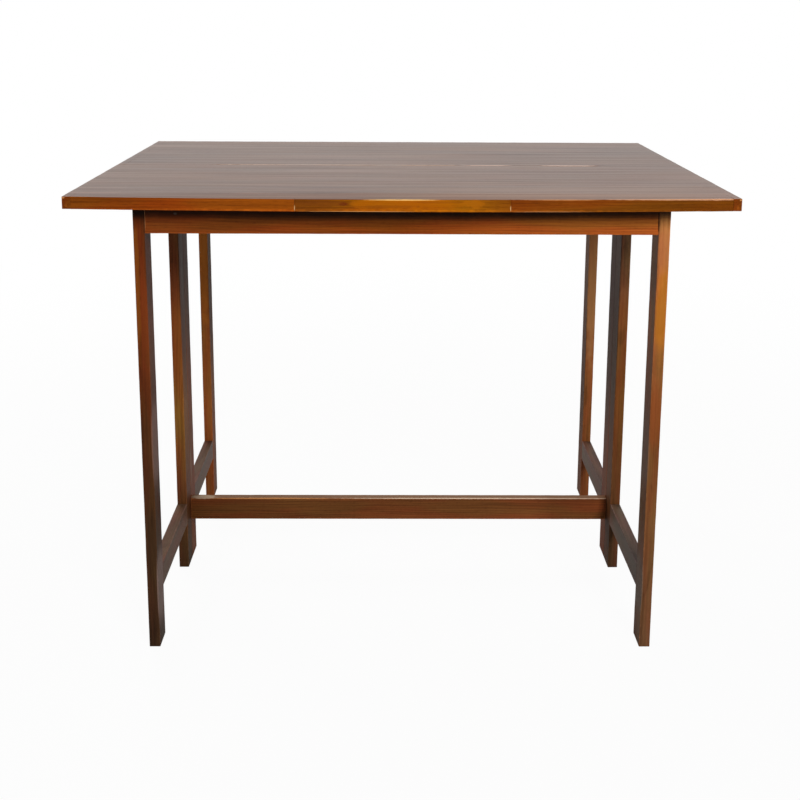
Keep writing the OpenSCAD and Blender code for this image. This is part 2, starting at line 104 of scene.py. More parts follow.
class Value:
    """A number that changes over a surface, written with the usual operators."""

    def __init__(self, sheet: "Sheet", socket: Socket) -> None:
        """Hold the socket that gives the number."""
        self.sheet = sheet
        self.socket = socket

    def _math(self, operation: str, *inputs: object) -> "Value":
        """Add one Math node, fed in order with numbers or Values."""
        return self.sheet.value("ShaderNodeMath", {"operation": operation}, dict(enumerate(inputs)))

    def __add__(self, other: object) -> "Value":
        """Add."""
        return self._math("ADD", self, other)

    __radd__ = __add__

    def __sub__(self, other: object) -> "Value":
        """Take away."""
        return self._math("SUBTRACT", self, other)

    def __rsub__(self, other: object) -> "Value":
        """Take this from another."""
        return self._math("SUBTRACT", other, self)

    def __mul__(self, other: object) -> "Value":
        """Multiply."""
        return self._math("MULTIPLY", self, other)

    __rmul__ = __mul__

    def __truediv__(self, other: object) -> "Value":
        """Divide."""
        return self._math("DIVIDE", self, other)

    def __abs__(self) -> "Value":
        """Drop the sign."""
        return self._math("ABSOLUTE", self)

    def root(self) -> "Value":
        """Take the square root."""
        return self._math("SQRT", self)

    def part(self) -> "Value":
        """Keep what follows the point."""
        return self._math("FRACT", self)

    def whole(self) -> "Value":
        """Keep what stands before the point."""
        return self._math("FLOOR", self)

    def least(self, other: object) -> "Value":
        """Take the smaller of two."""
        return self._math("MINIMUM", self, other)

    def most(self, other: object) -> "Value":
        """Take the larger of two."""
        return self._math("MAXIMUM", self, other)

    def ease(self, start: float, end: float) -> "Value":
        """Climb softly from 0, where this is at the start, to 1, where it is at the end."""
        inputs = {0: self, 1: start, 2: end, 3: 0.0, 4: 1.0}
        return self.sheet.value("ShaderNodeMapRange", {"interpolation_type": "SMOOTHSTEP"}, inputs)


class Sheet:
    """The node sheet of one material or world, filled from expressions."""

    def __init__(self, tree: bpy.types.NodeTree) -> None:
        """Start from an empty sheet."""
        self.tree = tree
        self.tree.nodes.clear()

    @classmethod
    def on(cls, piece: Piece, title: str) -> "Sheet":
        """Give a piece one new material.

        Args:
            piece: The piece.
            title: The material's name.

        Returns:
            The material's empty sheet.
        """
        material = bpy.data.materials.new(title)
        material.use_nodes = True
        piece.data.materials.clear()
        piece.data.materials.append(material)
        return cls(material.node_tree)

    def node(self, kind: str, settings: Given, inputs: Given) -> bpy.types.Node:
        """Add a node, set it up, then feed it.

        Args:
            kind: The node's type.
            settings: Its own settings, set first. The key "stops" holds a ramp's places and colours.
            inputs: Its sockets by name or number, each a number, a colour, a Value or a socket.

        Returns:
            The node.
        """
        made = self.tree.nodes.new(kind)
        for key, setting in settings.items():
            if key != "stops":
                setattr(made, key, setting)
                continue
            for _ in setting[2:]:
                made.color_ramp.elements.new(1.0)
            for element, (place, colour) in zip(made.color_ramp.elements, setting):
                element.position = place
                element.color = colour
        for key, given in inputs.items():
            socket = made.inputs[key]
            source = given.socket if isinstance(given, Value) else given
            if isinstance(source, Socket):
                self.tree.links.new(source, socket)
            else:
                socket.default_value = source
        return made

    def value(self, kind: str, settings: Given, inputs: Given) -> Value:
        """Add a node in the same way, and take its first output as a number."""
        return Value(self, self.node(kind, settings, inputs).outputs[0])

    @cached_property
    def place(self) -> list[Value]:
        """The place on the object.

        Returns:
            Its x, y and z, in millimetres.
        """
        spot = self.scale(self.node("ShaderNodeTexCoord", {}, {}).outputs["Object"], 1 / MM)
        parts = self.node("ShaderNodeSeparateXYZ", {}, {0: spot})
        return [Value(self, socket) for socket in parts.outputs]

    def noise(self, where: Sequence[object], detail: float = 2.0, rough: float = 0.5) -> Value:
        """Give a smooth noise of about one lump per unit.

        Args:
            where: The three numbers of the place that it is read at.
            detail: How many finer layers it has.
            rough: How strong the finer layers are.

        Returns:
            A number around 0.5.
        """
        spot = self.node("ShaderNodeCombineXYZ", {}, dict(enumerate(where))).outputs[0]
        inputs = {"Vector": spot, "Scale": 1.0, "Detail": detail, "Roughness": rough}
        return self.value("ShaderNodeTexNoise", {}, inputs)

    def chance(self, number: Value) -> Value:
        """Give a fixed random number, from 0 to 1, for each whole number."""
        return self.value("ShaderNodeTexWhiteNoise", {"noise_dimensions": "1D"}, {"W": number})

    def blend(self, amount: object, first: object, second: object) -> Socket:
        """Mix two colours, with an amount from 0 to 1 of the second."""
        made = self.node("ShaderNodeMix", {"data_type": "RGBA"}, {0: amount, 6: first, 7: second})
        return made.outputs[2]

    def tint(self, colour: Socket, factors: Rgb) -> Socket:
        """Multiply a colour by three numbers, which may be over 1."""
        made = self.node("ShaderNodeVectorMath", {"operation": "MULTIPLY"}, {0: colour, 1: factors})
        return made.outputs[0]

    def scale(self, colour: Socket, amount: object) -> Socket:
        """Multiply a colour or a vector by one number."""
        made = self.node("ShaderNodeVectorMath", {"operation": "SCALE"}, {0: colour, "Scale": amount})
        return made.outputs[0]

    def surface(self, colour: Socket, rough: Value, height: Value, relief: float, others: Given) -> None:
        """Close the sheet with one Principled shader.

        Args:
            colour: The base colour.
            rough: The roughness.
            height: The height that the bump follows.
            relief: How far the bump stands, in metres.
            others: The shader's other inputs, by socket name.
        """
        shape = {"Strength": BUMP_STRENGTH, "Distance": relief, "Height": height}
        bump = self.node("ShaderNodeBump", {}, shape)
        inputs = {"Base Color": colour, "Roughness": rough, "Normal": bump.outputs[0], **others}
        shader = self.node("ShaderNodeBsdfPrincipled", {}, inputs)
        self.node("ShaderNodeOutputMaterial", {}, {"Surface": shader.outputs[0]})


# ---- finishes ----


class Grain(Enum):
    """The way that the fibres of a board run: the axis along them, then the two across."""

    X = (0, 1, 2)
    Y = (1, 0, 2)
    Z = (2, 0, 1)


@dataclass(frozen=True)
class Mark:
    """One uneven patch on a board, such as a knot, a worn spot, a joint line, a painted shadow or a painted
    highlight.

    Attributes:
        at: Its centre, in millimetres.
        reach: How far it reaches along x, y and z, in millimetres.
        colour: The colour at its middle, from 0 to 255.
        strength: How much of it covers the wood.
        ragged: How far its outline is broken up.
        grain_mm: Size of the noise that breaks it up.
    """

    at: Place
    reach: Place
    colour: Rgb
    strength: float
    ragged: float
    grain_mm: float

    def lay(self, sheet: Sheet, colour: Socket) -> Socket:
        """Paint the patch over a colour.

        Args:
            sheet: The material's sheet.
            colour: The colour under it.

        Returns:
            The colour with the patch on it.
        """
        away = [abs(p - c) / r for p, c, r in zip(sheet.place, self.at, self.reach)]
        far = (away[0] * away[0] + away[1] * away[1] + away[2] * away[2]).root()
        fray = sheet.noise([p / self.grain_mm for p in sheet.place], 3.0, 0.6)
        cover = 1 - (far + (fray - 0.5) * (2 * self.ragged)).ease(0.55, 1.05)
        return sheet.blend(cover * self.strength, colour, linear(self.colour))


@dataclass(frozen=True)
class Figure:
    """What a cut of wood shows over a surface.

    Attributes:
        stain: The stain's own colour, with the painted light and shade that some boards' shades hold.
        colour: The colour with its grain.
        rough: The roughness.
        height: The relief.
        gleam: How much of the clear coat lies on it.
    """

    stain: Socket
    colour: Socket
    rough: Value
    height: Value
    gleam: Value

    def under(self, sheet: Sheet, skin: "Figure", cover: Value) -> "Figure":
        """Lay what a veneer shows over this wood.

        Args:
            sheet: The material's sheet.
            skin: What the veneer shows.
            cover: How much of it covers the wood, from 0 to 1.

        Returns:
            What both show together.
        """
        return Figure(
            sheet.blend(cover, self.stain, skin.stain),
            sheet.blend(cover, self.colour, skin.colour),
            self.rough + (skin.rough - self.rough) * cover,
            self.height + (skin.height - self.height) * cover,
            self.gleam + (skin.gleam - self.gleam) * cover,
        )


@dataclass(frozen=True)
class Cut:
    """One cut of a wood.

    Attributes:
        wood: The wood.
        box: The board's corners.
        grain: The way that its fibres run.
        seed: Picks the cut.
    """

    wood: "Wood"
    box: Box
    grain: Grain
    seed: int


@dataclass(frozen=True)
class Wood:
    """A stained and lacquered wood.

    Attributes:
        shades: The stain's colour along the board, which on some legs and rails also paints light and
            shade.
        ring: Distance between growth rings, in millimetres.
        rings: How dark the rings are.
        fibre: How strong the fine fibres are.
        streak: How strong the wider streaks are.
        streak_mm: Width of those streaks.
        run_mm: Length of those streaks.
        cloud: How strong the wide light and dark areas are.
        wear: How far the lacquer is rubbed off the arrises, from 0 to 1, which also sets their painted
            highlight.
        wear_mm: How wide the rubbed line is.
        sheen_streak: How far the clear coat follows the streaks.
        worn: The colour of rubbed wood, as factors on the stain, which also paints a highlight on the
            arrises.
        rough: The lacquer's roughness.
        gloss: The lacquer's specular level.
        leaf_mm: Width of a leaf of veneer, or 0 for solid wood.
        red: Factors on the stain where it took redder.
        gold: Factors on the stain where it took more golden.
        end: Factors on the stain where the fibres are cut across.
        coat: How much clear coat lies over it, from 0 to 1.
    """

    shades: Shades
    ring: float = 4.6
    rings: float = 0.2
    fibre: float = 0.3
    streak: float = 0.3
    streak_mm: float = 3.4
    run_mm: float = 190.0
    cloud: float = 0.45
    wear: float = 0.6
    wear_mm: float = 1.8
    sheen_streak: float = 0.0
    worn: Rgb = (2.1, 2.3, 3.0)
    rough: float = 0.52
    gloss: float = 0.11
    leaf_mm: float = 0.0
    red: Rgb = (1.06, 0.9, 0.9)
    gold: Rgb = (0.96, 1.1, 1.02)
    end: Rgb = (0.55, 0.5, 0.5)
    coat: float = 0.0

    def figure(self, sheet: Sheet, cut: Cut) -> Figure:
        """Work out what one cut of this wood shows.

        Each noise is read at the place divided by the size of its lumps, in millimetres.

        Args:
            sheet: The material's sheet.
            cut: The cut.

        Returns:
            Its colour, roughness, relief and clear coat.
        """
        a, b, _ = cut.grain.value
        place = sheet.place
        lowest, highest = (corner / MM for corner in cut.box)
        lot = random.Random(cut.seed)
        shift = lot.uniform(-400, 400)
        u, v, w = (place[i] - (lowest[i] + highest[i]) / 2 for i in cut.grain.value)
        run = u + shift
        tone: object = 1.0
        if self.leaf_mm:
            leaf = ((place[b] + shift) / self.leaf_mm).whole()
            luck = sheet.chance(leaf + cut.seed)
            tone = luck * 0.34 + 0.83
            v = v + luck * 160
        heart_v = lot.uniform(-14, 14)
        heart_w = lot.choice((-1, 1)) * lot.uniform(26, 70)
        lean = lot.uniform(0.012, 0.04) * lot.choice((-1, 1))
        waver = sheet.noise((run / 230, v / 60, w / 60))
        ripple = sheet.noise((run / 60, v / 9, w / 9))
        cloud = sheet.noise((run / 300, v / 45, w / 45))
        side = v - heart_v + u * lean
        depth = w - heart_w
        radius = (side * side + depth * depth).root()
        radius = radius + (waver - 0.5) * WAVER_MM + (ripple - 0.5) * RIPPLE_MM
        spread = sheet.noise((radius / 19, shift, 0.0), 1.0)
        year = (radius / self.ring + spread * 2.2).part()
        late = year.ease(0.35, 0.9) * (1 - year.ease(0.92, 1.0))
        fibre = sheet.noise((run / 75, v / 0.9, w / 0.9), 2.0, 0.6)
        streak = sheet.noise((run / self.run_mm, v / self.streak_mm, w / self.streak_mm), 2.0, 0.6)
        pore = sheet.noise((run / 9, v / 0.55, w / 0.55), 0.0).ease(0.6, 0.72)
        figure = (
            0.52
            + (cloud - 0.5) * (2 * self.cloud)
            + (fibre - 0.5) * (1.6 * self.fibre)
            + (streak - 0.5) * (2.4 * self.streak)
            - late * self.rings * (0.35 + cloud)
            - pore * 0.16
        )
        along = (place[a] - lowest[a]) / max(highest[a] - lowest[a], 1.0)
        stops = [(stop, linear(shade)) for stop, shade in self.shades]
        stain = sheet.node("ShaderNodeValToRGB", {"stops": stops}, {0: along}).outputs[0]
        dark, light = sheet.tint(stain, DARK_FIBRE), sheet.tint(stain, LIGHT_FIBRE)
        colour = sheet.blend(figure.most(0.0).least(1.0), dark, light)
        if self.leaf_mm:
            colour = sheet.scale(colour, tone)
        warmth = sheet.noise(((u - shift) / 150, v / 24, w / 24)).ease(0.36, 0.64)
        colour = sheet.blend(warmth, sheet.tint(colour, self.red), sheet.tint(colour, self.gold))
        across = 1 - (place[a] - lowest[a]).least(highest[a] - place[a]).ease(0.15, 1.2)
        colour = sheet.blend(across, colour, sheet.tint(colour, self.end))
        rough = self.rough + (cloud - 0.5) * 0.14 + (streak - 0.5) * 0.08 + pore * 0.08
        height = fibre * 0.35 - late * 0.25 - pore * 0.9 + streak * 0.3
        gleam = (1 + (streak - 0.5) * self.sheen_streak) * self.coat
        return Figure(stain, colour, rough, height, gleam)

    def _wear_and_highlight(self, sheet: Sheet, box: Box) -> Value:
        """Work out how far the lacquer is rubbed off near the edges of a box, which also places the
        arrises' painted highlight.

        Args:
            sheet: The material's sheet.
            box: The box's corners.

        Returns:
            A number from 0 to 1.
        """
        sides = [(p - low / MM).least(high / MM - p) for p, low, high in zip(sheet.place, *box)]
        near = sides[0].least(sides[1]).most(sides[0].most(sides[1]).least(sides[2]))
        rub = sheet.noise([p / 16 for p in sheet.place], 3.0, 0.65)
        chip = sheet.noise([p / 3.5 for p in sheet.place], 2.0, 0.6)
        edge = 1 - (near + (chip - 0.5) * (1.6 * self.wear_mm)).ease(0.35 * self.wear_mm, self.wear_mm)
        return edge * (0.35 + 0.65 * rub.ease(0.42, 0.62)) * self.wear

    def dress(
        self, piece: Piece, box: Box, grain: Grain, seed: int,
        marks: Sequence[Mark] = (), skin: Cut | None = None, whole: Box | None = None,
    ) -> None:
        """Give a piece its own cut of this wood.

        Args:
            piece: The piece.
            box: Its corners.
            grain: The way that its fibres run.
            seed: Picks the cut.
            marks: Patches on it.
            skin: The veneer laid over its upper face.
            whole: The box whose edges are worn, where that isn't the piece's own.
        """
        sheet = Sheet.on(piece, piece.name)
        shown = self.figure(sheet, Cut(self, box, grain, seed))
        if skin:
            upper = sheet.node("ShaderNodeAttribute", {"attribute_name": UPPER_FACES}, {})
            shown = shown.under(sheet, skin.wood.figure(sheet, skin), Value(sheet, upper.outputs["Fac"]))
        worn = self._wear_and_highlight(sheet, whole or box)
        # the rubbed arrises show lighter: wear, and a painted highlight along them
        colour = sheet.blend(worn, shown.colour, sheet.tint(shown.stain, self.worn))
        for mark in marks:
            colour = mark.lay(sheet, colour)
        others = {"Specular IOR Level": self.gloss}
        if self.coat or skin:
            others |= {"Coat Weight": shown.gleam * (1 - worn * 0.4), "Coat Roughness": COAT_ROUGH}
        sheet.surface(colour, shown.rough + worn * 0.12, shown.height, WOOD_RELIEF, others)


@dataclass(frozen=True)
class Metal:
    """A plain metal with fine scratches and a little tarnish.

    Attributes:
        bright: The clean metal's colour.
        dull: The tarnish's colour.
        rough: The clean metal's roughness.
    """

    bright: Rgb
    dull: Rgb
    rough: float

    def dress(self, piece: Piece, _box: Box, grain: Grain, seed: int) -> None:
        """Give a piece this metal.

        Args:
            piece: The piece.
            _box: Its corners, which only a wood needs.
            grain: The way that its scratches run.
            seed: Picks where the tarnish lies.
        """
        sheet = Sheet.on(piece, piece.name)
        place = sheet.place
        a, b, c = grain.value
        shift = random.Random(seed).uniform(-90, 90)
        patch = sheet.noise([(p + shift) / 5 for p in place], 4.0, 0.65)
        scratch = sheet.noise((place[a] / 9, place[b] / 0.2, place[c] / 0.2))
        dull = patch.ease(0.4, 0.72)
        colour = sheet.blend(dull, linear(self.bright), linear(self.dull))
        rough = self.rough + dull * 0.25 + (scratch - 0.5) * 0.15
        sheet.surface(colour, rough, scratch, METAL_RELIEF, {"Metallic": 1.0})


# ---- modelling by operators ----


def clear_choice() -> None:
    """Deselect every object."""
    bpy.ops.object.select_all(action="DESELECT")


def pick(piece: Piece) -> None:
    """Make a piece the only selected object, and the active one.

    Args:
        piece: The piece.
    """
    clear_choice()
    piece.select_set(True)
    bpy.context.view_layer.objects.active = piece


def pick_edges(piece: Piece, wanted: Callable[[bmesh.types.BMEdge], bool]) -> None:
    """Select edges of the piece that is in edit mode.

    Args:
        piece: The piece.
        wanted: Tells which edges are taken.
    """
    bpy.ops.mesh.select_mode(type="EDGE")
    bpy.ops.mesh.select_all(action="DESELECT")
    mesh = bmesh.from_edit_mesh(piece.data)
    for edge in mesh.edges:
        edge.select_set(wanted(edge))
    bmesh.update_edit_mesh(piece.data)


def apply_all(piece: Piece) -> None:
    """Apply every modifier of a piece, in order.

    Args:
        piece: The piece.
    """
    pick(piece)
    for modifier in list(piece.modifiers):
        bpy.ops.object.modifier_apply(modifier=modifier.name)


def settle(piece: Piece, title: str, drop: float, pull: Callable[[Vector], float]) -> None:
    """Let part of a piece sag.

    Args:
        piece: The piece.
        title: The name of its weight group.
        drop: How far it sinks where the weight is 1, in metres.
        pull: Gives the weight, from 0 to 1, at a place.
    """
    group = piece.vertex_groups.new(name=title)
    for corner in piece.data.vertices:
        amount = pull(corner.co)
        if amount > 0.001:
            group.add([corner.index], amount, "REPLACE")
    sag = piece.modifiers.new(title, "DISPLACE")
    sag.direction = "Z"
    sag.mid_level = 0.0
    sag.strength = -drop
    sag.vertex_group = group.name
    apply_all(piece)
    piece.vertex_groups.remove(piece.vertex_groups[title])


@dataclass
class Board:
    """One straight board or bar with eased, slightly worn arrises.

    Attributes:
        name: The piece's name.
        box: Its corners.
        grain: The way that its fibres run.
        arris: How far its edges are eased, in metres.
        step: Distance between the cuts along it, in metres.
        cuts: More cuts.
        wander: How unevenly its edges are worn, in metres.
        plain: Sides that meet another board and keep sharp edges.
    """

    name: str
    box: Box
    grain: Grain
    arris: float = 1.0 * MM
    step: float = 16 * MM
    cuts: Planes = ()
    wander: float = 0.5 * MM
    plain: Planes = ()

    def build(self) -> Piece:
        """Model the board from a block.

        Returns:
            The board, at the origin with its place in its mesh.
        """
        low, high = self.box
        clear_choice()
        bpy.ops.mesh.primitive_cube_add(size=1, location=(low + high) / 2)
        piece = bpy.context.object
        piece.name = piece.data.name = self.name
        piece.scale = high - low
        bpy.ops.object.transform_apply(location=True, rotation=True, scale=True)
        axis = self.grain.value[0]
        bpy.ops.object.mode_set(mode="EDIT")
        pick_edges(piece, lambda e: abs((e.verts[0].co - e.verts[1].co)[axis]) > SAME_PLACE)
        bpy.ops.mesh.subdivide(number_cuts=max(2, round((high[axis] - low[axis]) / self.step)))
        for way, where in self.cuts:
            bpy.ops.mesh.select_all(action="SELECT")
            normal = [1.0 if i == way else 0.0 for i in range(3)]
            bpy.ops.mesh.bisect(plane_co=[where * n for n in normal], plane_no=normal)
        pick_edges(piece, self._eased)
        bpy.ops.mesh.bevel(offset=self.arris, segments=3, profile=0.6, affect="EDGES")
        piece.vertex_groups.new(name="arris")
        bpy.ops.object.vertex_group_assign()
        bpy.ops.object.mode_set(mode="OBJECT")
        return piece

    def _eased(self, edge: bmesh.types.BMEdge) -> bool:
        """Tell whether an edge is one of the outer ones that are eased.

        Args:
            edge: The edge.

        Returns:
            Whether it is.
        """
        ends = [corner.co for corner in edge.verts]
        joined = any(all(abs(end[way] - where) < SAME_PLACE for end in ends) for way, where in self.plain)
        return len(edge.link_faces) == 2 and edge.calc_face_angle(0.0) > SHARP_ANGLE and not joined

    def finish(self, piece: Piece) -> Piece:
        """Wear the edges unevenly and settle the shading.

        Args:
            piece: The board.

        Returns:
            The same board.
        """
        lumps = bpy.data.textures.new(f"{self.name}_wear", "CLOUDS")
        lumps.noise_scale = WEAR_LUMPS
        lumps.noise_depth = 3
        wear = piece.modifiers.new("wear", "DISPLACE")
        wear.texture = lumps
        wear.texture_coords = "LOCAL"
        wear.vertex_group = "arris"
        wear.mid_level = 0.85
        wear.strength = self.wander
        flat = piece.modifiers.new("flat", "WEIGHTED_NORMAL")
        flat.weight = 50
        flat.keep_sharp = True
        pick(piece)
        bpy.ops.object.shade_smooth_by_angle(angle=SMOOTH_ANGLE)
        apply_all(piece)
        piece.vertex_groups.clear()
        bpy.data.textures.remove(lumps)
        return piece


def eased_copy(node: str, ease: float) -> Piece:
    """Copy a small or hidden part, which keeps its machined shape, and ease its edges.

    Args:
        node: The part's name in the frame.
        ease: How far its edges are eased, in metres.

    Returns:
        The new piece, with its own mesh.
    """
    piece = bpy.data.objects.new(f"{node}_eased", frame["nodes"][node].data.copy())
    bpy.context.scene.collection.objects.link(piece)
    piece.data.name = piece.name
    pick(piece)
    bpy.ops.object.mode_set(mode="EDIT")
    bpy.ops.mesh.select_all(action="SELECT")
    bpy.ops.mesh.remove_doubles(threshold=SAME_PLACE / 2)
    bpy.ops.mesh.dissolve_limited(angle_limit=math.radians(0.5))
    bpy.ops.object.mode_set(mode="OBJECT")
    round_off = piece.modifiers.new("eased", "BEVEL")
    round_off.width = ease
    round_off.segments = 2
    round_off.limit_method = "ANGLE"
    round_off.angle_limit = math.radians(50)
    round_off.harden_normals = True
    bpy.ops.object.shade_smooth()
    bpy.ops.object.shade_smooth_by_angle(angle=SMOOTH_ANGLE)
    apply_all(piece)
    return piece


def note_upper(piece: Piece) -> None:
    """Note on each face whether it looks up, where a veneer lies over it.

    Args:
        piece: The piece.
    """
    layer = piece.data.attributes.new(UPPER_FACES, "FLOAT", "FACE")
    for face in piece.data.polygons:
        layer.data[face.index].value = float(face.normal.z > UPPER_SLOPE)


def settle_on(piece: Piece, node: str) -> None:
    """Let a piece stand for a part and move with its body.

    Args:
        piece: The piece.
        node: The part that it stands for.
    """
    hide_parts(node)
    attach(piece, frame["nodes"][node]["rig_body"])
    log.info("%s: %d faces, for %s", piece.name, len(piece.data.polygons), node)


# ---- the finishes of this table ----

TOP = Wood(
    shades=((0.0, (104, 66, 40)), (0.5, (108, 69, 42)), (1.0, (106, 66, 40))),
    rings=0.3, fibre=0.35, streak=0.5, streak_mm=10.0, run_mm=420.0, cloud=0.35, leaf_mm=97.0, rough=0.32,
    gloss=0.01, coat=0.67, sheen_streak=1.3, wear=0.35, wear_mm=1.4,
    worn=(1.4, 1.5, 1.8), end=(1.0, 1.0, 1.0), red=(1.0, 0.95, 0.98), gold=(1.0, 1.04, 1.02),
)
LIP = Wood(
    shades=((0.0, (118, 55, 9)), (0.5, (128, 58, 8)), (1.0, (136, 63, 8))),
    wear=0.5, wear_mm=1.3, rings=0.12, rough=0.32, gloss=0.01, coat=0.1, end=(1.0, 1.0, 1.0),
)
LIP_LIGHT = replace(
    LIP, ring=3.2,
    shades=((0.0, (112, 54, 8)), (0.35, (134, 70, 4)), (0.8, (140, 76, 4)), (1.0, (122, 60, 6))),
)
LIP_DARK = replace(LIP, shades=((0.0, (112, 55, 7)), (0.4, (104, 52, 6)), (1.0, (100, 48, 5))))
LIP_END = replace(LIP, shades=((0.0, (116, 56, 10)), (1.0, (116, 56, 12))), end=(0.85, 0.8, 0.8))
FRAME = Wood(shades=((0.0, (104, 54, 24)), (1.0, (112, 58, 26))))
RUNNER = Wood(shades=((0.0, (168, 122, 78)), (1.0, (176, 130, 84))), wear=0.3, rough=0.55, gloss=0.25)
BRASS = Metal((196, 160, 92), (120, 88, 48), 0.28)
STEEL = Metal((150, 148, 144), (92, 84, 78), 0.34)

# colour of the painted glints along the seam edge
PAINTED_GLINT = (210, 184, 170)
LEG_SEED, RAIL_SEED, APRON_SEED, STRETCHER_SEED = 60, 70, 80, 91
RAIL_GLOSS = 0.3
PANEL_STEP, LIP_STEP = 9 * MM, 12 * MM
# in millimetres: the legs' inner faces, the front of the lips and of the front legs, the front lip's joints
LEG_FACE, LIP_Y, LEG_Y, LIP_JOINTS = 394.5, -402, -351, (-161, 161)
SIDES = (("left", -1), ("right", 1))
VENEER_SEEDS = {"front": 11, "rear": 23}


def inner(side: int, y: float, z: float, span: float, colour: Rgb, strength: float) -> Mark:
    """Give a painted patch on the inner face of a leg, -1 for a left one and 1 for a right one: dark
    patches paint shade, greyish light ones paint the sheen that the face reflects.
    """
    return Mark((side * LEG_FACE, y, z), (3.0, 50.0, span), colour, strength, 0.1, 60.0)


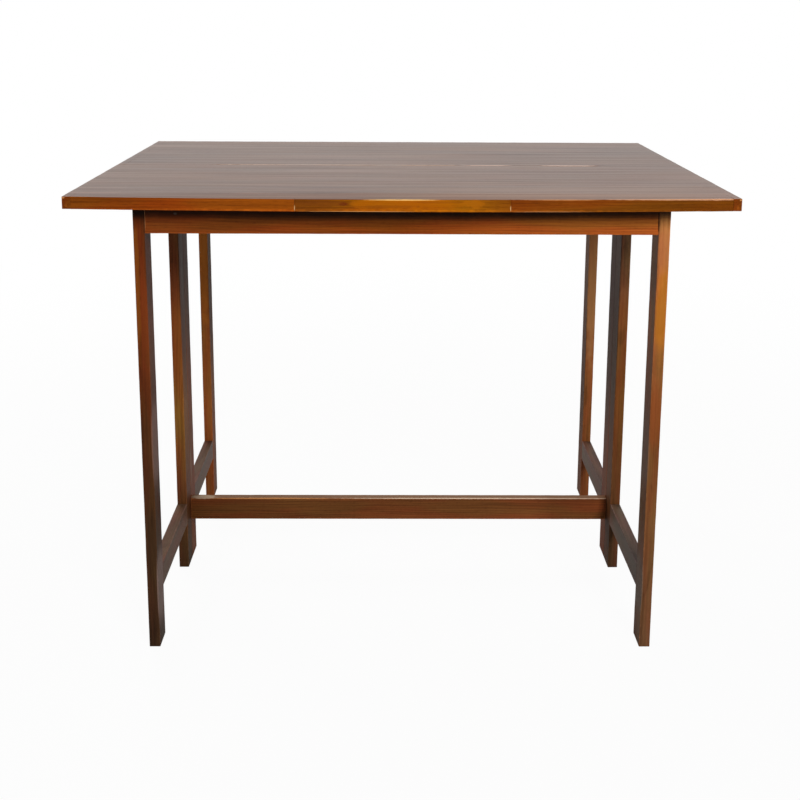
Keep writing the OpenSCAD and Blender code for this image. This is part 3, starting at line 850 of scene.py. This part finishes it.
MARKS: dict[str, tuple[Mark, ...]] = {
    "top_panel_front": (
        Mark((-36, -201, 755), (74, 9, 6), (92, 52, 34), 0.55, 0.6, 14),
        Mark((60, -236, 755), (50, 6, 6), (96, 56, 38), 0.35, 0.6, 14),
        Mark((-330, -120, 755), (90, 10, 6), (128, 78, 48), 0.3, 0.6, 18),
    ),
    "top_panel_rear": (
        # a light line along the seam edge with two brighter glints: painted highlights where the edge
        # catches the light
        Mark((-90, 0, 754), (290, 5, 3), (204, 176, 158), 0.8, 0.5, 12),
        Mark((158, 0, 754), (50, 3, 3), PAINTED_GLINT, 0.95, 0.35, 7),
        Mark((302, 0, 754), (62, 3, 3), PAINTED_GLINT, 0.95, 0.35, 7),
        Mark((372, 2, 755), (20, 6, 4), (64, 34, 20), 0.7, 0.4, 5),
        Mark((-22, 104, 755), (52, 8, 6), (92, 52, 34), 0.55, 0.6, 14),
        Mark((200, 250, 755), (120, 10, 6), (128, 78, 48), 0.3, 0.6, 18),
    ),
    "front_lip_centre": (
        Mark((-88, LIP_Y, 745), (9, 4, 3.2), (84, 26, 10), 0.85, 0.3, 5),
        Mark((-122, LIP_Y, 746), (38, 4, 7), (108, 54, 12), 0.5, 0.6, 14),
        Mark((2, LIP_Y, 745), (104, 6, 9), (166, 90, 3), 0.55, 0.7, 22),
        Mark((-20, LIP_Y, 741), (60, 4, 2.4), (118, 60, 8), 0.45, 0.7, 14),
        Mark((60, LIP_Y, 748), (44, 4, 1.8), (120, 62, 8), 0.45, 0.7, 14),
        Mark((106, LIP_Y, 745), (18, 4, 8), (168, 94, 8), 0.45, 0.8, 12),
        *(Mark((x, LIP_Y, 739), (1.1, 4, 5), (214, 170, 116), 0.8, 0.2, 4) for x in LIP_JOINTS),
        # light lines along the upper and lower arrises: rubbed lacquer with a painted highlight
        Mark((-2, LIP_Y, 751.4), (64, 3, 1.2), (226, 178, 104), 0.85, 0.3, 6),
        Mark((-70, LIP_Y, 733.6), (100, 4, 0.9), (206, 146, 84), 0.7, 0.4, 8),
    ),
    **dict.fromkeys(("front_lip_left", "front_lip_right"), (
        *(Mark((x, LIP_Y, 739), (1.0, 4, 5), (200, 160, 108), 0.4, 0.2, 4) for x in LIP_JOINTS),
        # light lines along the upper and lower arrises: rubbed lacquer with a painted highlight
        Mark((400, LIP_Y, 754), (150, 4, 2.2), (200, 146, 108), 0.8, 0.4, 9),
        Mark((230, LIP_Y, 752.6), (80, 3, 1.4), (200, 140, 90), 0.6, 0.5, 9),
        Mark((230, LIP_Y, 733.9), (70, 4, 0.9), (206, 146, 96), 0.6, 0.4, 8),
    )),
    **{
        f"side_lip_front_{side}": (
            Mark((sign * 500, LIP_Y, 741.5), (2.2, 3, 2.6), (160, 88, 26), 0.25, 0.7, 2.5),
            Mark((sign * 504, -401, 753), (3, 3, 1.6), (206, 150, 96), 0.6, 0.5, 3),
        )
        for side, sign in SIDES
    },
    "front_leg_right": (
        # inner face: painted shade at the top, painted grey sheen lower down
        inner(1, -327, 670, 110, (44, 30, 16), 0.45),
        inner(1, -327, 335, 70, (120, 102, 90), 0.3),
        inner(1, -327, 105, 60, (96, 100, 96), 0.35),
        # front face: the lighter patches higher up paint a sheen
        Mark((406, LEG_Y, 572), (14, 5, 92), (178, 106, 20), 0.55, 0.35, 30),
        Mark((402, LEG_Y, 392), (16, 5, 60), (122, 60, 24), 0.45, 0.5, 24),
        Mark((404, LEG_Y, 668), (14, 5, 46), (170, 104, 62), 0.45, 0.4, 22),
        # painted shadow of the top over the leg's upper end
        Mark((404, LEG_Y, 737), (60, 30, 22), (40, 18, 10), 0.85, 0.12, 40),
    ),
    "front_leg_left": (
        # inner face: painted shade at the top, painted grey sheen lower down
        inner(-1, -327, 670, 130, (36, 24, 14), 0.45),
        inner(-1, -327, 345, 80, (140, 110, 100), 0.4),
        inner(-1, -327, 100, 75, (140, 118, 112), 0.5),
        Mark((-400, LEG_Y, 560), (9, 5, 96), (114, 44, 15), 0.42, 0.5, 26),
        Mark((-409, LEG_Y, 610), (5, 5, 130), (122, 68, 14), 0.5, 0.5, 26),
        Mark((-404, LEG_Y, 190), (16, 5, 60), (52, 34, 20), 0.35, 0.5, 30),
        # painted shadow of the top over the leg's upper end
        Mark((-404, LEG_Y, 737), (60, 30, 26), (18, 8, 5), 0.9, 0.12, 40),
    ),
    "middle_leg_rear_left": (
        # painted shade on the inner face
        inner(-1, 24, 640, 330, (30, 24, 18), 0.6),
        # a pale line by the seam: a scratch with a painted highlight on the edge
        Mark((-LEG_FACE, 11, 182), (2, 2.6, 40), (160, 152, 140), 0.55, 0.3, 8),
    ),
    # painted shade on the inner faces
    "middle_leg_rear_right": (inner(1, 24, 620, 470, (28, 24, 20), 0.6),),
    "middle_leg_front_right": (inner(1, -24, 620, 470, (28, 24, 20), 0.6),),
    "middle_leg_front_left": (
        # painted shade on the inner face, painted light on the front face at mid-height, and a greyish
        # painted highlight on the inner face
        inner(-1, -24, 640, 330, (30, 24, 18), 0.6),
        Mark((-403, -48, 440), (14, 4, 90), (128, 72, 20), 0.25, 0.5, 26),
        Mark((-394, -24, 560), (3, 8, 60), (96, 90, 84), 0.35, 0.7, 20),
    ),
    "rear_leg_left": (
        # painted shade on the inner face, and painted light that lifts the front face against the shade of
        # the top
        inner(-1, 327, 620, 400, (24, 15, 9), 0.7),
        Mark((-404, 303, 560), (16, 5, 210), (186, 108, 32), 0.7, 0.4, 26),
    ),
    "rear_leg_right": (
        # painted shade on the inner face, and painted light that lifts the front face against the shade of
        # the top
        inner(1, 327, 560, 600, (26, 24, 20), 0.72),
        Mark((404, 303, 520), (16, 5, 250), (162, 114, 70), 0.65, 0.4, 26),
    ),
    "front_apron": (
        # painted shadow that the top's overhang casts along the apron's upper edge
        Mark((0, LEG_Y, 737), (1200, 6, 26), (30, 9, 0), 0.92, 0.12, 40),
        Mark((-347, LEG_Y, 721.5), (3.4, 3, 2.2), (84, 70, 62), 0.75, 0.3, 3),
        Mark((-394, LEG_Y, 712), (1.2, 3, 20), (190, 140, 96), 0.4, 0.2, 6),
        Mark((394, LEG_Y, 712), (1.6, 3, 20), (30, 14, 6), 0.9, 0.2, 6),
    ),
    "stretcher": (
        # the lighter, greyer top face is a painted sheen
        Mark((0, 4, 121.6), (900, 14, 2.2), (132, 102, 78), 0.65, 0.25, 20),
        Mark((-370, 0, 121), (26, 12, 2.6), (172, 154, 132), 0.6, 0.5, 6),
        # pale lines along the upper front arris: a painted highlight over the rubbed edge
        Mark((-240, -6, 120.4), (130, 4, 1.3), (190, 132, 80), 0.8, 0.35, 9),
        Mark((170, -6, 120.7), (330, 4, 1.0), (214, 190, 164), 0.85, 0.25, 9),
    ),
}

# stain along each board, which on the legs and low rails also holds painted light and shade: the legs
# lighter and darker along their height where light falls on them or the top shades them, and the low rails
# greyer for the white that their faces reflect
STAINS_AND_PAINTED_LIGHT: dict[str, Shades] = {
    "front_leg_left": ((0.0, (58, 38, 21)), (0.45, (66, 35, 14)), (0.8, (98, 44, 13)), (1.0, (90, 38, 9))),
    "front_leg_right": (
        (0.0, (92, 60, 37)), (0.5, (108, 64, 30)), (0.85, (140, 84, 42)), (1.0, (176, 112, 60)),
    ),
    "middle_leg_front_left": (
        (0.0, (62, 40, 20)), (0.22, (91, 49, 24)), (0.42, (116, 74, 27)), (0.58, (100, 49, 20)),
        (1.0, (110, 61, 28)),
    ),
    "middle_leg_front_right": (
        (0.0, (72, 46, 28)), (0.45, (101, 57, 23)), (0.68, (102, 60, 28)), (0.8, (122, 82, 52)),
        (1.0, (122, 80, 60)),
    ),
    "rear_leg_left": ((0.0, (104, 54, 22)), (0.5, (132, 73, 31)), (1.0, (146, 76, 34))),
    "rear_leg_right": ((0.0, (104, 56, 27)), (0.5, (126, 73, 35)), (1.0, (142, 79, 40))),
    "front_apron": ((0.0, (120, 58, 17)), (0.5, (116, 54, 9)), (1.0, (148, 78, 27))),
    "stretcher": ((0.0, (80, 42, 16)), (0.3, (104, 58, 26)), (1.0, (110, 60, 28))),
    "low_rail_front_left": ((0.0, (88, 60, 44)), (1.0, (96, 66, 48))),
    "low_rail_front_right": ((0.0, (82, 62, 50)), (1.0, (90, 67, 52))),
    "low_rail_rear_left": ((0.0, (88, 62, 46)), (1.0, (92, 64, 48))),
    "low_rail_rear_right": ((0.0, (84, 60, 46)), (1.0, (88, 62, 48))),
}


# ---- sub-assemblies ----


@dataclass
class TableTop:
    """The two panels of the top with their solid lips."""

    panel_arris: float = 0.6 * MM
    lip_arris: float = 1.0 * MM
    half_length: float = 506 * MM
    front_sag: float = 3.0 * MM
    sag_from: float = 351 * MM  # from the seam to the front aprons' face
    overhang: float = 51 * MM
    seam_dip: float = 1.0 * MM
    seam_gap: float = 0.3 * MM  # from the middle of the table to the front panel
    dip_depth: float = 60 * MM
    dip_ramp: float = 18 * MM
    # start and end of each dip along the seam, in metres, and its share of the deepest
    dips: tuple[Place, ...] = (
        (-0.34, -0.2, 0.4), (-0.16, -0.03, 0.5), (-0.01, 0.106, 0.65),
        (0.112, 0.204, 0.75), (0.246, 0.36, 1.0),
    )
    sockets: tuple[int, ...] = (-400, -130, 130, 400)
    socket_height: float = 745.5 * MM
    socket_radius: float = 4.02 * MM
    socket_depth: float = 12 * MM

    def build(self) -> None:
        """Model and dress both halves of the top."""
        self._front_panel()
        self._rear_panel()
        self._lips()

    @staticmethod
    def _whole(half: str) -> Box:
        """Give the box of one half of the top with its lips.

        Args:
            half: Which half, front or rear.

        Returns:
            The box's corners.
        """
        nodes = [f"top_panel_{half}", f"side_lip_{half}_left", f"side_lip_{half}_right"]
        nodes.append("front_lip_centre" if half == "front" else "rear_lip")
        lows, highs = zip(*(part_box(node) for node in nodes))
        return Vector(map(min, zip(*lows))), Vector(map(max, zip(*highs)))

    @staticmethod
    def _veneer(half: str) -> Cut:
        """Give the veneer that lies over one half of the top."""
        return Cut(TOP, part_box(f"top_panel_{half}"), Grain.X, VENEER_SEEDS[half])

    def _sagging(self, spot: Vector) -> float:
        """Tell how far the front overhang sags.

        Args:
            spot: The place, in metres.

        Returns:
            Its share of the deepest sag, from 0 to 1.
        """
        out = min(1.0, max(0.0, (-self.sag_from - spot.y) / self.overhang))
        half = min(1.0, abs(spot.x) / self.half_length)
        return out * (1 - half * half)

    def _dipping(self, spot: Vector) -> float:
        """Tell how far the seam edge dips.

        Args:
            spot: The place, in metres.

        Returns:
            Its share of the deepest dip, from 0 to 1.
        """
        near = max(0.0, 1 + (spot.y + self.seam_gap) / self.dip_depth)
        along = max(
            amount * min(1.0, max(0.0, min(spot.x - start, end - spot.x) / self.dip_ramp))
            for start, end, amount in self.dips
        )
        return near * near * (3 - 2 * near) * along

    def _panel(self, half: str, piece: Piece) -> None:
        """Dress a panel and let it stand for its part.

        Args:
            half: Which half it lies in, front or rear.
            piece: The panel.
        """
        node, veneer = f"top_panel_{half}", self._veneer(half)
        TOP.dress(piece, veneer.box, veneer.grain, veneer.seed, MARKS[node], whole=self._whole(half))
        settle_on(piece, node)

    def _front_panel(self) -> None:
        """Model the front panel, with its dowel sockets and the dips along its seam."""
        low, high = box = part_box("top_panel_front")
        cuts = tuple((1, -y * MM) for y in (4, 10, 18, 30, 46, 66, 351, 360, 372, 384))
        plain = ((0, low.x), (0, high.x), (1, low.y))
        name = "panel_front_veneered"
        board = Board(name, box, Grain.X, self.panel_arris, PANEL_STEP, cuts, 0.2 * MM, plain)
        piece = board.build()
        settle(piece, "sag", self.front_sag, self._sagging)
        settle(piece, "dip", self.seam_dip, self._dipping)
        for x in self.sockets:
            self._bore(piece, Vector((x * MM, high.y, self.socket_height)))
        board.finish(piece)
        self._panel("front", piece)

    def _bore(self, piece: Piece, mouth: Vector) -> None:
        """Drill a dowel socket into the seam edge of a panel.

        Args:
            piece: The panel.
            mouth: The middle of the socket's mouth.
        """
        clear_choice()
        bpy.ops.mesh.primitive_cylinder_add(
            vertices=32,
            radius=self.socket_radius,
            depth=self.socket_depth + 2 * MM,
            location=mouth - Vector((0, self.socket_depth / 2 - MM, 0)),
            rotation=(math.pi / 2, 0, 0),
        )
        drill = bpy.context.object
        cut = piece.modifiers.new("bore", "BOOLEAN")
        cut.object = drill
        cut.operation = "DIFFERENCE"
        cut.solver = "EXACT"
        apply_all(piece)
        bpy.data.objects.remove(drill)

    def _rear_panel(self) -> None:
        """Model the rear panel, whose seam edge carries painted highlights where the front one dips."""
        low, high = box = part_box("top_panel_rear")
        plain = ((0, low.x), (0, high.x), (1, high.y))
        name = "panel_rear_veneered"
        board = Board(name, box, Grain.X, self.panel_arris, PANEL_STEP, (), 0.3 * MM, plain)
        piece = board.finish(board.build())
        self._panel("rear", piece)

    def _lips(self) -> None:
        """Model the lips of the front, the sides and the rear."""
        self._lip("front_lip_left", LIP, 31)
        self._lip("front_lip_centre", LIP_LIGHT, 32)
        self._lip("front_lip_right", LIP_DARK, 33)
        for side, sign in SIDES:
            self._lip(f"side_lip_front_{side}", LIP_END, 41 + sign)
            self._lip(f"side_lip_rear_{side}", LIP_END, 43 + sign)
        self._lip("rear_lip", LIP, 47)

    def _lip(self, node: str, finish: Wood, seed: int) -> None:
        """Model one lip, with the veneer of its half over its upper face.

        Args:
            node: The part that it stands for, whose name tells where it lies.
            finish: Its own wood.
            seed: Picks its cut.
        """
        half = "rear" if "rear" in node else "front"
        grain = Grain.Y if node.startswith("side") else Grain.X
        sags = node.startswith("front")
        low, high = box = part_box(node)
        across = grain.value[1]
        plain = [(across, min(low[across], high[across], key=abs))]
        if grain is Grain.X:
            plain += [(0, low.x), (0, high.x)]
        step = PANEL_STEP if sags else LIP_STEP
        board = Board(f"{node}_moulded", box, grain, self.lip_arris, step, (), 0.5 * MM, tuple(plain))
        piece = board.build()
        if sags:
            settle(piece, "sag", self.front_sag, self._sagging)
        note_upper(board.finish(piece))
        finish.dress(piece, box, grain, seed, MARKS.get(node, ()), self._veneer(half), self._whole(half))
        settle_on(piece, node)


@dataclass
class HalfFrame:
    """The legs and rails of one half of the table."""

    half: str
    arris: float = 1.2 * MM

    def build(self) -> None:
        """Model and dress the legs, the rails between them and the apron."""
        for number, side in enumerate(("left", "right")):
            legs = (f"{self.half}_leg_{side}", f"middle_leg_{self.half}_{side}")
            near, far = sorted((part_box(leg) for leg in legs), key=lambda box: box[0].y)
            for leg in legs:
                self._board(leg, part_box(leg), Grain.Z, LEG_SEED + number)
            for rail in (f"low_rail_{self.half}_{side}", f"side_apron_{self.half}_{side}"):
                low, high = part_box(rail)
                low.y, high.y = near[1].y, far[0].y
                self._board(rail, (low, high), Grain.Y, RAIL_SEED + number)
        node = f"{self.half}_apron"
        low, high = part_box(node)
        low.x, high.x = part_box(f"{self.half}_leg_left")[1].x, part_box(f"{self.half}_leg_right")[0].x
        self._board(node, (low, high), Grain.X, APRON_SEED)

    def _board(self, node: str, box: Box, grain: Grain, seed: int) -> None:
        """Model one board and give it its own stain, which on the legs and low rails also holds painted
        light and shade.

        Args:
            node: The part that it stands for.
            box: Its corners.
            grain: The way that its fibres run.
            seed: Picks its cut, with its name.
        """
        board = Board(f"{node}_planed", box, grain, self.arris)
        piece = board.finish(board.build())
        gloss = RAIL_GLOSS if node.startswith("low_rail") else FRAME.gloss
        finish = replace(FRAME, shades=STAINS_AND_PAINTED_LIGHT.get(node, FRAME.shades), gloss=gloss)
        finish.dress(piece, box, grain, seed + sum(map(ord, node)), MARKS.get(node, ()))
        settle_on(piece, node)


@dataclass
class Stretcher:
    """The long bar that joins the doubled middle legs."""

    arris: float = 0.9 * MM

    def build(self) -> None:
        """Model and dress the bar between the legs' inner faces."""
        low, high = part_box("stretcher")
        low.x, high.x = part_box("middle_leg_rear_left")[1].x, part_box("middle_leg_rear_right")[0].x
        board = Board("stretcher_planed", (low, high), Grain.X, self.arris)
        piece = board.finish(board.build())
        # strongly rubbed arrises, whose lighter line also paints the bar's edge highlight
        finish = Wood(STAINS_AND_PAINTED_LIGHT["stretcher"], wear=0.95, wear_mm=2.2)
        finish.dress(piece, (low, high), Grain.X, STRETCHER_SEED, MARKS["stretcher"])
        settle_on(piece, "stretcher")


@dataclass
class Hidden:
    """What the top hides: rails, runners, sliders, the stored leaf and the metal fittings."""

    def build(self) -> None:
        """Dress every inner part."""
        for seed, half in enumerate(("front", "rear")):
            self._part(f"inner_rail_{half}", FRAME, Grain.X, 101 + seed, "frame_wood", 0.8)
            self._part(f"corner_blocks_{half}", RUNNER, Grain.X, 103 + seed, "runner_wood", 0.8)
            self._part(f"block_screws_{half}", STEEL, Grain.Z, 105 + seed, "steel", 0.2)
            self._part(f"runner_screws_{half}", STEEL, Grain.Z, 107 + seed, "steel", 0.2)
            self._part(f"stop_pins_{half}", STEEL, Grain.X, 109 + seed, "steel", 0.3)
            for side in ("left", "right"):
                own = 111 + seed + len(side)
                self._part(f"runner_{half}_{side}", RUNNER, Grain.Y, own, "runner_wood", 0.5)
        for side in ("left", "right"):
            self._part(f"runner_slider_{side}", RUNNER, Grain.Y, 121 + len(side), "runner_wood", 0.4)
            self._part(f"seam_button_{side}", FRAME, Grain.Y, 131 + len(side), "frame_wood", 0.8)
        for seed, layer in enumerate(("lower", "upper")):
            self._part(f"leaf_{layer}", TOP, Grain.X, 141 + seed, "top_veneer", 0.7)
        self._part("leaf_slats", RUNNER, Grain.Y, 143, "runner_wood", 0.6)
        self._part("leaf_dowels", RUNNER, Grain.Y, 144, "runner_wood", 0.3)
        self._part("seam_dowels", RUNNER, Grain.Y, 145, "runner_wood", 0.3)
        self._part("leaf_hinges", BRASS, Grain.Y, 146, "brass", 0.15)
        self._part("button_pivots", BRASS, Grain.Z, 147, "brass", 0.2)

    @staticmethod
    def _part(node: str, finish: Wood | Metal, grain: Grain, seed: int, slot: str, ease: float) -> None:
        """Dress one part.

        Args:
            node: The part's name in the frame.
            finish: Its wood or metal.
            grain: The way that its fibres or scratches run.
            seed: Picks its cut.
            slot: The record's material slot, which is not used.
            ease: How far its edges are eased, in millimetres.
        """
        piece = eased_copy(node, ease * MM)
        finish.dress(piece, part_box(node), grain, seed)
        settle_on(piece, node)


# ---- studio ----


@dataclass
class Studio:
    """A pale floor, a white surrounding and plain soft lamps."""

    fill: float = 0.3
    key_power: float = 128.0
    back_power: float = 135.0
    floor_side: float = 14.0
    floor_drop: float = 0.5 * MM
    floor_white: float = 0.96  # how white the camera sees the floor at the table
    floor_mirrored: float = 0.08  # how white gloss sees it
    # where the table's shadow fades out on it, in millimetres from the middle
    shadow_fade: tuple[float, float] = (600, 3200)

    def build(self) -> None:
        """Make the floor, the surrounding and the lamps."""
        bpy.context.scene.view_settings.view_transform = "Standard"
        self._floor()
        self._surrounding()
        self._lamp("key", Vector((1.1, -3.3, 2.25)), Vector((0.0, -0.2, 0.6)), 1.0, self.key_power)
        self._lamp("back", Vector((-1.7, 3.0, 3.1)), Vector((0.0, 0.0, 0.5)), 1.6, self.back_power)

    @staticmethod
    def _rays(sheet: Sheet) -> tuple[Value, Value]:
        """Tell how a point is seen.

        Args:
            sheet: The sheet of its material or world.

        Returns:
            1 where the camera sees it, straight or through glass, and 1 where gloss mirrors it.
        """
        ray = sheet.node("ShaderNodeLightPath", {}, {}).outputs
        names = ("Is Camera Ray", "Is Transmission Ray", "Is Glossy Ray")
        straight, through, gloss = (Value(sheet, ray[name]) for name in names)
        return straight.most(through), gloss

    def _floor(self) -> None:
        """Lay the floor, which looks white to the camera and keeps the table's shadow."""
        clear_choice()
        bpy.ops.mesh.primitive_plane_add(size=self.floor_side, location=(0, 0, -self.floor_drop))
        floor = bpy.context.object
        floor.name = "floor"
        sheet = Sheet.on(floor, "floor_paper")
        seen, gloss = self._rays(sheet)
        place = sheet.place
        away = (place[0] * place[0] + place[1] * place[1]).root().ease(*self.shadow_fade)
        paper = sheet.node("ShaderNodeBsdfDiffuse", {}, {"Color": (0.42, 0.42, 0.41, 1)})
        white = sheet.node("ShaderNodeEmission", {}, {"Color": (1, 1, 1, 1), "Strength": 1.0})
        cover = seen * (self.floor_white + away * (1 - self.floor_white)) + gloss * self.floor_mirrored
        both = sheet.node("ShaderNodeMixShader", {}, {0: cover, 1: paper.outputs[0], 2: white.outputs[0]})
        sheet.node("ShaderNodeOutputMaterial", {}, {"Surface": both.outputs[0]})

    def _surrounding(self) -> None:
        """Make the world: white to the camera, and a soft grey fill for the light."""
        world = bpy.data.worlds.new("studio")
        world.use_nodes = True
        bpy.context.scene.world = world
        sheet = Sheet(world.node_tree)
        seen, gloss = self._rays(sheet)
        way = sheet.node("ShaderNodeTexCoord", {}, {}).outputs["Generated"]
        parts = sheet.node("ShaderNodeSeparateXYZ", {}, {0: way})
        behind, height = (Value(sheet, parts.outputs[axis]) for axis in (1, 2))
        backdrop = behind.ease(-0.2, 0.9) * (0.84 - height.ease(0.08, 0.6) * 0.5) + 0.03
        level = seen + (1 - seen) * (gloss * backdrop + (1 - gloss) * self.fill)
        light = sheet.node("ShaderNodeBackground", {}, {"Color": (1, 1, 1, 1), "Strength": level})
        sheet.node("ShaderNodeOutputWorld", {}, {"Surface": light.outputs[0]})

    @staticmethod
    def _lamp(name: str, where: Vector, aim: Vector, side: float, power: float) -> None:
        """Hang one square soft lamp, which gloss doesn't mirror.

        Args:
            name: The lamp's name.
            where: Its place.
            aim: The point that it faces.
            side: The length of its side, in metres.
            power: Its power, in watts.
        """
        light = bpy.data.lights.new(name, "AREA")
        light.shape = "SQUARE"
        light.size = side
        light.energy = power
        lamp = bpy.data.objects.new(name, light)
        lamp.visible_glossy = False
        bpy.context.scene.collection.objects.link(lamp)
        turn = (where - aim).to_track_quat("Z", "Y").to_matrix().to_4x4()
        lamp.matrix_world = Matrix.Translation(where) @ turn


@dataclass
class Camera:
    """The camera, at the photograph's angle."""

    where: Place = (-0.0210, -2.2555, 1.0279)
    pitch: float = 12.119
    roll: float = 0.282
    yaw: float = 0.541
    focal_px: float = 1259.2
    picture_px: float = 800.0
    sensor_mm: float = 36.0
    shift: float = -0.15

    def build(self) -> None:
        """Set the camera up and make it the scene's."""
        data = bpy.data.cameras.new("photo_view")
        data.sensor_fit = "HORIZONTAL"
        data.sensor_width = self.sensor_mm
        data.lens = self.sensor_mm * self.focal_px / self.picture_px
        data.shift_y = self.shift
        camera = bpy.data.objects.new("photo_view", data)
        bpy.context.scene.collection.objects.link(camera)
        pitch, yaw, roll = (math.radians(angle) for angle in (self.pitch, self.yaw, self.roll))
        level = Matrix.Rotation(-yaw, 4, "Z") @ Matrix.Rotation(math.pi / 2 - pitch, 4, "X")
        camera.matrix_world = Matrix.Translation(self.where) @ level @ Matrix.Rotation(roll, 4, "Z")
        bpy.context.scene.camera = camera


def main() -> None:
    """Build the table over its frame, then the studio around it."""
    logging.basicConfig(level=logging.INFO, format="%(message)s")
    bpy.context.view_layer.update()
    Camera().build()
    TableTop().build()
    HalfFrame("front").build()
    HalfFrame("rear").build()
    Stretcher().build()
    Hidden().build()
    Studio().build()


if __name__ == "__main__":
    main()
